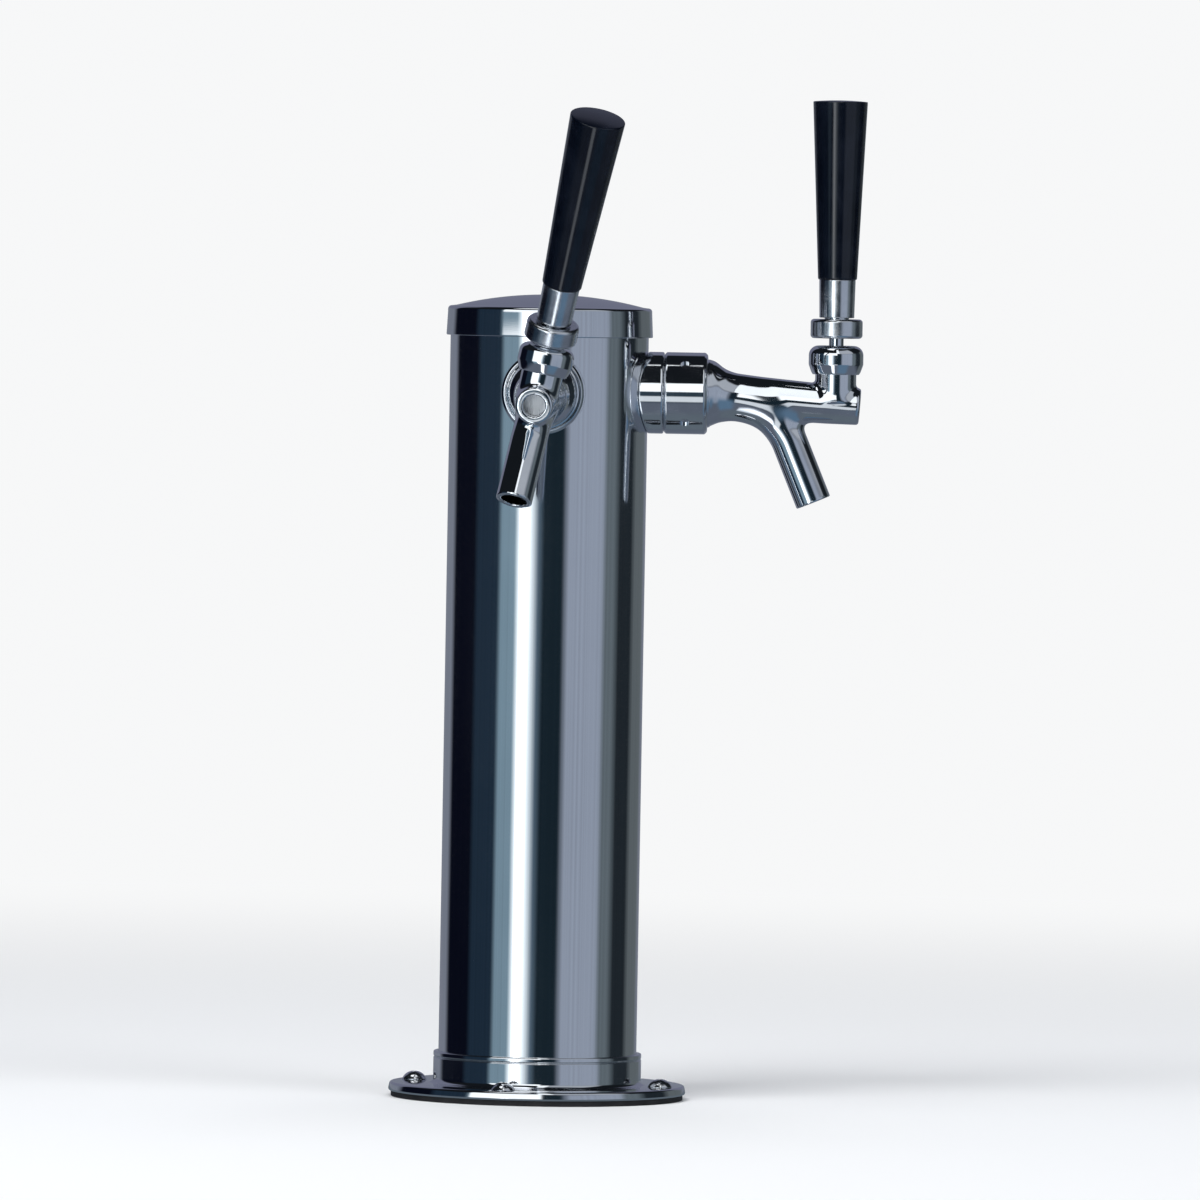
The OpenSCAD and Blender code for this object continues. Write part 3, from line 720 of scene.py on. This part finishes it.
def mounting_screw(angle):
    """Dome-head screw with a cross recess and a sharp thread."""
    head_r, head_h, shank_r, neck_r, tip_r = 4.8, 3.2, 2.4, 2.6, 0.4
    point, taper, ring_every = -14.0, 5, 0.15
    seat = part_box("base_flange")[0][2] / MM + DISC_MM
    dome_r = (head_r**2 + head_h**2) / (2 * head_h)
    rise = math.degrees(math.asin(head_r / dome_r))
    outline = [(0, point), (tip_r, point)]
    for t in np.linspace(0, 1, 25)[1:]:
        outline.append((tip_r + (shank_r - tip_r) * t, point + taper * t))
    outline += [(shank_r, z) for z in np.arange(point + taper + 0.1, -0.2, ring_every)]
    outline += [(neck_r, 0), (neck_r, seat), (head_r - 0.2, seat), (head_r, seat + 0.2)]
    outline += arc((0, seat + head_h - dome_r), dome_r, 90 - rise + 2, 90, 18)[:-1]
    outline += [(0, seat + head_h)]
    place = UPRIGHT @ at_screw(angle) @ Matrix.Rotation(math.radians(3 * angle), 4, "Z")
    piece = lathe("screw", outline, place, 72, warp=screw_thread)
    for turn in (0, 90):
        cut(piece, recess_blade(seat + head_h, place @ Matrix.Rotation(math.radians(turn), 4, "Z")))
    return piece


def recess_blade(top, matrix):
    """A wedge that narrows downward, as one bar of a cross recess."""
    corners = []
    for half_w, half_l, height in ((0.55, 2.3, top + 1), (0.385, 0.9, top - 1.9)):
        for x, y in ((-half_w, -half_l), (half_w, -half_l), (half_w, half_l), (-half_w, half_l)):
            corners.append((x, y, height))
    faces = [(0, 1, 2, 3), (7, 6, 5, 4)]
    faces += [(k, k + 4, (k + 1) % 4 + 4, (k + 1) % 4) for k in range(4)]
    return build("cutter", corners, faces, matrix)


def mounting_screws():
    piece = joined([mounting_screw(angle) for angle in screw_angles()], "screws")
    piece.data.set_sharp_from_angle(angle=math.radians(30))
    finish_piece(piece, "screw_steel", "tower", "mounting_screws")


def column():
    """Polished tube, with a ring of vertices above and below the shanks' holes."""
    low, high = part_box("column")
    outer = (high[0] - low[0]) / 2 / MM
    inner = outer - WALL_MM
    foot, top = low[2] / MM, high[2] / MM
    around_holes = (SHANK_HEIGHT_MM - 15, SHANK_HEIGHT_MM + 15)
    outline = soften([(inner, foot), (outer, foot), (outer, top), (inner, top)], 0.25)
    rings = []
    for i, point in enumerate(outline):
        rings.append(point)
        on = outline[(i + 1) % len(outline)]
        runs_past_holes = abs(on[1] - point[1]) > 100
        if runs_past_holes:
            levels = sorted(around_holes, reverse=on[1] < point[1])
            rings += [(point[0], level) for level in levels]
    piece = lathe("column_tube", rings, UPRIGHT, 256)
    for side in SIDES:
        cut(piece, rod(SHANK_R_MM + SHANK_PLAY_MM, 20, 50, straight_matrix(side) @ AXIS_U))
    finish_piece(piece, "polished_steel", "tower", "column")


def straight_matrix(side):
    """As faucet_matrix, without the turn of the faucet about its shank."""
    matrix = faucet_matrix(side)
    out = Vector(matrix.col[0][:3]).normalized()
    across = Vector((0, 0, 1)).cross(out)
    upright = Matrix((out, across, Vector((0, 0, 1)))).transposed().to_4x4() * MM
    upright.translation = (0, 0, SHANK_HEIGHT_MM * MM)
    upright[3][3] = 1.0
    return upright


def cap():
    """Spun lid: a skirt that leans in a little, a tight round shoulder and a low dome."""
    low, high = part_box("cap")
    outer = (high[0] - low[0]) / 2 / MM
    foot, top = low[2] / MM, high[2] / MM
    skirt_r = outer - 1.55
    rise, shoulder, lean = 5.5, 1.4, 0.45
    edge = top - rise
    bend = edge - 0.6
    dome_r = (outer**2 + rise**2) / (2 * rise)
    half = math.degrees(math.asin((outer - shoulder) / dome_r))
    outline = [(skirt_r, foot), (outer, foot), (outer - lean, edge - 1.4), (outer - lean, bend)]
    outline += arc((outer - lean - shoulder, bend), shoulder, 15, 75, 6)
    outline += arc((0, top - dome_r), dome_r, 90 - half + 1, 90, 24)[:-1]
    outline += [(0, top)]
    inner_r = dome_r - WALL_MM
    half_in = math.degrees(math.asin(36.0 / inner_r))
    outline += [(0, top - WALL_MM)]
    outline += arc((0, top - dome_r), inner_r, 90, 90 - half_in, 24)[1:]
    outline += [(skirt_r, foot + 9.05)]
    piece = lathe("cap_lid", soften(outline, 0.45), UPRIGHT, 256)
    finish_piece(piece, "polished_steel", "tower", "cap")


# Pieces around the shank


def shank_collar(side):
    """Collar with its back hollowed to sit on the round column."""
    column_r = COLUMN_R_MM + COLUMN_FIT_MM
    bore = SHANK_R_MM + SHANK_PLAY_MM
    front = COUPLING_BACK_MM - 0.1
    outline = [(bore, 0), (COUPLING_R_MM, 0), (COUPLING_R_MM, front), (bore, front)]

    def saddle(x, y, z):
        on_column = z.max() <= 2
        return (x, y, np.sqrt(column_r**2 - y**2) + z) if on_column else (x, y, z)

    piece = lathe(f"{side}_collar", soften(outline, 0.7), straight_matrix(side) @ AXIS_U, warp=saddle)
    finish_piece(piece, "chrome", "tower", f"{side}_shank_collar")


def coupling_nut(side):
    """Round nut with a bevel at each end and four spanner holes."""
    length = COUPLING_FRONT_MM - COUPLING_BACK_MM
    lip_r, lip, cavity_r, bevel = SHANK_R_MM + 0.15, 1.9, 14.1, 0.9
    hole_r, hole_depth = 1.9, 1.1
    outline = [
        (lip_r, 0),
        (COUPLING_R_MM - bevel, 0),
        (COUPLING_R_MM, bevel),
        (COUPLING_R_MM, length - bevel),
        (COUPLING_R_MM - bevel, length),
        (cavity_r, length),
        (cavity_r, lip),
        (lip_r, lip),
    ]
    place = straight_matrix(side) @ Matrix.Translation((COUPLING_BACK_MM, 0, 0)) @ AXIS_U
    piece = lathe(f"{side}_nut", soften(outline, 0.35), place)
    for k in range(4):
        turn = Matrix.Rotation(math.radians(45 + 90 * k), 4, "Z")
        across = Matrix.Translation((0, 0, length / 2)) @ Matrix.Rotation(math.pi / 2, 4, "Y")
        hole = rod(hole_r, COUPLING_R_MM - hole_depth, COUPLING_R_MM + 4, place @ turn @ across, 48)
        cut(piece, hole)
    finish_piece(piece, "chrome", "tower", f"{side}_coupling_nut")


# Faucet


def casting():
    """Vertices and quads of the faucet body in millimetres, once for both sides."""
    low, high, grid_step = (48.6, -15.3, -44.5), (121.2, 15.3, 15.4), 0.46
    return surface_net(body_field, low, high, grid_step)


def faucet_body(side, vertices, quads):
    piece = build(f"{side}_casting", vertices, quads.tolist(), faucet_matrix(side))
    finish_piece(piece, "chrome", "tower", f"{side}_faucet_body")


def bonnet(side):
    """Ring nut over the ball: waisted foot, round shoulder, flared mouth."""
    outline = [(7.95, 8.2), (8.9, 8.2), (9.5, 9.2), (10.5, 12.0)]
    outline += arc((6.8, 15.6), 3.7, 0, 90, 14)
    outline += [(6.7, 19.3), (5.7, 17.2), (5.7, 16.6), (7.75, 16.6), (7.95, 16.3)]
    piece = lathe(f"{side}_bonnet_ring", soften(outline, 0.3), faucet_matrix(side) @ AT_LEVER)
    finish_piece(piece, "chrome", "tower", f"{side}_bonnet")


def lever(side):
    """Ball with its nose below and its threaded stud above."""
    ball_z, ball_r = BALL_HEIGHT_MM, 6.4
    nose_z, nose_r, neck_r, stem_r = -3.37, 2.2, 1.8, 2.8
    stud_r, stud_foot, stud_top = 4.7, 22.3, 40.5
    low = math.degrees(math.asin(neck_r / ball_r))
    high = math.degrees(math.asin(stem_r / ball_r))
    outline = [(0, nose_z - nose_r)]
    outline += arc((0, nose_z), nose_r, -85, 90 - math.degrees(math.asin(neck_r / nose_r)), 16)
    outline += arc((0, ball_z), ball_r, -90 + low, 90 - high, 40)
    outline += [(stem_r, stud_foot), (stud_r, stud_foot), (stud_r, stud_top), (0, stud_top)]
    piece = lathe(f"{side}_ball_lever", soften(outline, 0.3), lever_matrix(side), 96)
    finish_piece(piece, "chrome", f"{side}_lever", f"{side}_lever")


def lever_collar(side):
    """Lock ring with a bevel at each end."""
    radius, foot, top, bevel = 10.0, 22.1, 29.5, 0.8
    outline = [
        (STUD_BORE_R_MM, foot),
        (radius - bevel, foot),
        (radius, foot + bevel),
        (radius, top - bevel),
        (radius - bevel, top),
        (STUD_BORE_R_MM, top),
    ]
    piece = lathe(f"{side}_lock_ring", soften(outline, 0.45), lever_matrix(side))
    finish_piece(piece, "chrome", f"{side}_lever", f"{side}_lever_collar", look="satin_chrome")


def handle_ferrule(side):
    """Tapered foot of the handle, with the spigot that goes up into the grip's insert."""
    foot, foot_r, top_r, bore_end = 30.0, 6.7, 7.0, 41.5
    spigot_r, spigot_top = 4.0, 56.6
    outline = [
        (STUD_BORE_R_MM, foot),
        (foot_r, foot),
        (top_r, GRIP_FOOT_MM),
        (spigot_r, GRIP_FOOT_MM),
        (spigot_r, spigot_top),
        (0, spigot_top),
        (0, bore_end),
        (STUD_BORE_R_MM, bore_end),
    ]
    piece = lathe(f"{side}_ferrule", soften(outline, 0.3), lever_matrix(side))
    finish_piece(piece, "chrome", f"{side}_lever", f"{side}_handle_ferrule", look="satin_chrome")


def handle_grip(side):
    """Tapered grip with a softly rounded foot, a tight top edge and a slightly crowned end."""
    foot_r, top_r, bore, bore_top, crown = 7.5, 10.5, 5.65, 58.6, 0.5
    outline = [
        (bore, GRIP_FOOT_MM),
        (foot_r, GRIP_FOOT_MM),
        ((foot_r + top_r) / 2, (GRIP_FOOT_MM + GRIP_TOP_MM) / 2),
        (top_r, GRIP_TOP_MM - crown),
    ]
    crown_r = (top_r**2 + crown**2) / (2 * crown)
    half = math.degrees(math.asin(top_r / crown_r))
    outline += arc((0, GRIP_TOP_MM - crown_r), crown_r, 90 - half * 0.9, 90, 12)[:-1]
    outline += [(0, GRIP_TOP_MM), (0, bore_top), (bore, bore_top)]
    piece = lathe(f"{side}_grip", soften(outline, 0.9, 6), lever_matrix(side))
    finish_piece(piece, "black_grip", f"{side}_lever", f"{side}_handle_grip")


def cad_nodes_left_showing():
    """Gives every CAD node that stays its slot's procedural material."""
    slots = {part["node"]: part["material_slot"] for part in frame["record"]["subparts"]}
    for name, node in frame["nodes"].items():
        node.data.materials.clear()
        node.data.materials.append(MATERIALS[slots[name]])


# Studio

CAMERA_AZIMUTH = math.radians(-43)
CAMERA_DISTANCE = 5.5
CAMERA_HEIGHT = 0.357
CAMERA_ROLL = math.radians(1.0)
FILL_OF_FRAME = 0.84
BACKDROP = (0.93, 0.935, 0.94)
# Distance from the tower, in metres, over which the floor fades out
FLOOR_FADES = (0.25, 1.6)
# Painted reflection of the floor, seen only by mirrors: the distance over which it fades out, then its dim glowing
# colour, which stands in for the counter's reflection near the tower
PAINTED_REFLECTION_FADES = (0.09, 0.26)
PAINTED_FLOOR_REFLECTION = (0.12, 0.15, 0.18)

# Bands of the room that polished metal shows: start and end azimuth in degrees, counted from the
# camera's side towards its right, then their colour.
ROOM_BANDS = (
    (-180, -139, (0.20, 0.22, 0.27)),
    (-129, -92, (0.003, 0.004, 0.010)),
    (-86, -58, (0.014, 0.028, 0.048)),
    (-52, -36, (0.21, 0.31, 0.38)),
    (-31, -31, (1.30, 1.42, 1.48)),
    (-27, -23, (3.40, 3.55, 3.70)),
    (-19, -19, (1.30, 1.42, 1.48)),
    (-9, -9, (0.10, 0.15, 0.20)),
    (-2, 19, (0.010, 0.020, 0.029)),
    (27, 68, (0.325, 0.37, 0.455)),
    (75, 86, (0.13, 0.16, 0.18)),
    (96, 117, (0.016, 0.022, 0.028)),
    (127, 150, (0.12, 0.14, 0.15)),
    (162, 180, (0.20, 0.22, 0.27)),
)
# Colours above and below the bands
CEILING = (0.008, 0.010, 0.013)
UNDER_HORIZON = (0.115, 0.135, 0.175)
# Panels of light: azimuth span, elevation span, softness of the edge in degrees, and colour.
PANELS = (
    ((-54, 4), (4, 28), 3, (1.30, 1.35, 1.38)),
    ((-14, 6), (-24, -9), 4, (0.75, 0.80, 0.84)),
    ((1, 15), (22, 72), 2, (1.15, 1.20, 1.24)),
    ((15, 80), (20, 58), 8, (0.42, 0.45, 0.50)),
    ((-85, -20), (66, 86), 4, (1.60, 1.65, 1.70)),
    ((8, 60), (-60, -16), 24, (0.105, 0.18, 0.27)),
    ((-24, -9), (-64, -28), 6, (1.60, 1.72, 1.85)),
    ((-190, -132), (5, 46), 8, (0.17, 0.18, 0.25)),
    ((148, 190), (5, 46), 8, (0.17, 0.18, 0.25)),
)


class Graph:
    """A short way to write the node trees of the room and the floor."""

    def __init__(self, tree):
        self.tree = tree
        tree.nodes.clear()

    def node(self, kind, **settings):
        made = self.tree.nodes.new(kind)
        for key, value in settings.items():
            setattr(made, key, value)
        return made

    def put(self, value, socket):
        if isinstance(value, bpy.types.NodeSocket):
            self.tree.links.new(value, socket)
        else:
            socket.default_value = value

    def math(self, operation, *values):
        made = self.node("ShaderNodeMath", operation=operation)
        for value, socket in zip(values, made.inputs):
            self.put(value, socket)
        return made.outputs[0]

    def span(self, value, start, end, low=0.0, high=1.0, curve="LINEAR"):
        """Maps start..end to low..high."""
        made = self.node("ShaderNodeMapRange", interpolation_type=curve)
        for key, number in (("From Min", start), ("From Max", end), ("To Min", low), ("To Max", high)):
            made.inputs[key].default_value = number
        self.put(value, made.inputs["Value"])
        return made.outputs["Result"]

    def step(self, value, start, end):
        return self.span(value, start, end, curve="SMOOTHSTEP")

    def window(self, value, span, soft):
        rise = self.step(value, span[0] - soft / 2, span[0] + soft / 2)
        fall = self.step(value, span[1] + soft / 2, span[1] - soft / 2)
        return self.math("MULTIPLY", rise, fall)

    def mix(self, factor, first, second):
        made = self.node("ShaderNodeMix", data_type="RGBA")
        colours = [c if isinstance(c, bpy.types.NodeSocket) else (*c, 1) for c in (first, second)]
        self.put(factor, made.inputs["Factor"])
        self.put(colours[0], made.inputs["A"])
        self.put(colours[1], made.inputs["B"])
        return made.outputs["Result"]

    def emission(self, colour):
        made = self.node("ShaderNodeEmission")
        self.put((*colour, 1), made.inputs["Color"])
        return made.outputs[0]

    def mix_shader(self, factor, first, second):
        made = self.node("ShaderNodeMixShader")
        for value, socket in zip((factor, first, second), made.inputs):
            self.put(value, socket)
        return made.outputs[0]


def room_angles(g):
    """Sockets for a ray's azimuth, from the camera's side towards its right, and its elevation."""
    turned = g.node("ShaderNodeVectorRotate", rotation_type="Z_AXIS")
    g.put(-CAMERA_AZIMUTH, turned.inputs["Angle"])
    g.put(g.node("ShaderNodeTexCoord").outputs["Generated"], turned.inputs["Vector"])
    parts = g.node("ShaderNodeSeparateXYZ")
    g.put(turned.outputs[0], parts.inputs[0])
    # The camera's side is -Y here, and its right is +X
    radians = g.math("ARCTAN2", parts.outputs["X"], g.math("MULTIPLY", parts.outputs["Y"], -1.0))
    azimuth = g.math("DEGREES", radians)
    elevation = g.math("DEGREES", g.math("ARCSINE", parts.outputs["Z"]))
    return azimuth, elevation


def room_bands(g, azimuth):
    """The walls' colour at an azimuth, with a faint unevenness."""
    ramp = g.node("ShaderNodeValToRGB")
    stops = [(edge, colour) for start, end, colour in ROOM_BANDS for edge in sorted({start, end})]
    elements = ramp.color_ramp.elements
    while len(elements) < len(stops):
        elements.new(0.5)
    for element, (edge, colour) in zip(elements, stops):
        element.position = edge / 360 + 0.5
        element.color = (*colour, 1)
    g.put(g.math("ADD", g.math("DIVIDE", azimuth, 360.0), 0.5), ramp.inputs["Fac"])

    streaks = g.node("ShaderNodeTexNoise", noise_dimensions="1D")
    g.put(0.35, streaks.inputs["Scale"])
    g.put(3.0, streaks.inputs["Detail"])
    g.put(azimuth, streaks.inputs["W"])
    scaled = g.node("ShaderNodeVectorMath", operation="SCALE")
    g.put(ramp.outputs["Color"], scaled.inputs[0])
    g.put(g.span(streaks.outputs["Fac"], 0.3, 0.7, 0.91, 1.08), scaled.inputs["Scale"])
    return scaled.outputs[0]


def room():
    """World light: bands round the room, panels of light, and a plain backdrop for the camera."""
    world = bpy.data.worlds.new("room")
    bpy.context.scene.world = world
    world.use_nodes = True
    g = Graph(world.node_tree)
    azimuth, elevation = room_angles(g)
    seen = room_bands(g, azimuth)
    seen = g.mix(g.step(elevation, 14, 24), seen, CEILING)
    seen = g.mix(g.step(elevation, -20, -32), seen, UNDER_HORIZON)
    for azimuths, elevations, soft, colour in PANELS:
        across = g.window(azimuth, azimuths, soft)
        seen = g.mix(g.math("MULTIPLY", across, g.window(elevation, elevations, soft)), seen, colour)
    seen = g.mix(g.node("ShaderNodeLightPath").outputs["Is Camera Ray"], seen, BACKDROP)
    background = g.node("ShaderNodeBackground")
    g.put(seen, background.inputs["Color"])
    g.put(background.outputs[0], g.node("ShaderNodeOutputWorld").inputs["Surface"])


def floor_material():
    """Pale matt counter that fades into the backdrop. Mirrors see a painted reflection in its place: a dim glowing
    patch near the tower and nothing beyond.
    """
    material = bpy.data.materials.new("floor")
    material.use_nodes = True
    g = Graph(material.node_tree)
    matt = g.node("ShaderNodeBsdfPrincipled")
    g.put((0.86, 0.87, 0.88, 1), matt.inputs["Base Color"])
    g.put(0.7, matt.inputs["Roughness"])
    g.put(0.2, matt.inputs["Specular IOR Level"])
    length = g.node("ShaderNodeVectorMath", operation="LENGTH")
    g.put(g.node("ShaderNodeTexCoord").outputs["Object"], length.inputs[0])
    from_tower = length.outputs["Value"]
    gone = g.node("ShaderNodeBsdfTransparent").outputs[0]
    seen = g.mix_shader(g.step(from_tower, *FLOOR_FADES), matt.outputs[0], g.emission(BACKDROP))
    # Painted reflection: glossy rays see a dim glow near the tower instead of the lit counter, and see through the
    # floor beyond it
    painted_reflection = g.mix_shader(g.step(from_tower, *PAINTED_REFLECTION_FADES), g.emission(PAINTED_FLOOR_REFLECTION), gone)
    glossy = g.node("ShaderNodeLightPath").outputs["Is Glossy Ray"]
    g.put(g.mix_shader(glossy, seen, painted_reflection), g.node("ShaderNodeOutputMaterial").inputs["Surface"])
    return material


def floor():
    """A wide disc under the tower."""
    radius, corners = 14.0, 96
    turns = np.linspace(0, 2 * math.pi, corners, endpoint=False)
    ring = [(radius * math.cos(a), radius * math.sin(a), 0) for a in turns]
    piece = build("floor", ring, [tuple(range(corners))], Matrix.Identity(4))
    piece.data.materials.append(floor_material())
    piece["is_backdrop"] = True


def softbox(name, azimuth, elevation, distance, size, power):
    """An area light that faces the tower. Azimuth is counted from the camera's side, to the right."""
    turn = CAMERA_AZIMUTH + math.radians(azimuth)
    tilt = math.radians(elevation)
    target = Vector((0, 0, 0.2))
    away = Vector((math.sin(turn) * math.cos(tilt), -math.cos(turn) * math.cos(tilt), math.sin(tilt)))
    data = bpy.data.lights.new(name, "AREA")
    data.size = size
    data.energy = power
    light = bpy.data.objects.new(name, data)
    light.location = target + away * distance
    light.rotation_euler = away.to_track_quat("Z", "Y").to_euler()
    light.visible_glossy = False
    bpy.context.collection.objects.link(light)


def camera():
    """At the eye's height and distance, with a lens that fills the frame with the tower."""
    low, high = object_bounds()
    middle = Vector(((low[0] + high[0]) / 2, (low[1] + high[1]) / 2, high[2] / 2))
    place = Vector((math.sin(CAMERA_AZIMUTH), -math.cos(CAMERA_AZIMUTH), 0)) * CAMERA_DISTANCE
    place += Vector((middle.x, middle.y, CAMERA_HEIGHT))
    data = bpy.data.cameras.new("camera")
    data.sensor_width = 36.0
    data.lens = data.sensor_width * CAMERA_DISTANCE / (high[2] / FILL_OF_FRAME)
    data.clip_end = 100.0
    eye = bpy.data.objects.new("camera", data)
    eye.location = place
    look = (place - middle).to_track_quat("Z", "Y").to_matrix()
    eye.rotation_euler = (look @ Matrix.Rotation(CAMERA_ROLL, 3, "Z")).to_euler()
    bpy.context.collection.objects.link(eye)
    bpy.context.scene.camera = eye


camera()
room()
floor()
softbox("key", -35, 50, 2.2, 1.1, 34)
softbox("fill", 50, 35, 2.6, 1.4, 18)
softbox("top", 170, 70, 2.2, 1.6, 22)
bpy.context.scene.view_settings.view_transform = "Standard"

base_flange()
mounting_screws()
column()
cap()
body_shape = casting()
for side in SIDES:
    shank_collar(side)
    coupling_nut(side)
    faucet_body(side, *body_shape)
    bonnet(side)
    lever(side)
    lever_collar(side)
    handle_ferrule(side)
    handle_grip(side)
cad_nodes_left_showing()
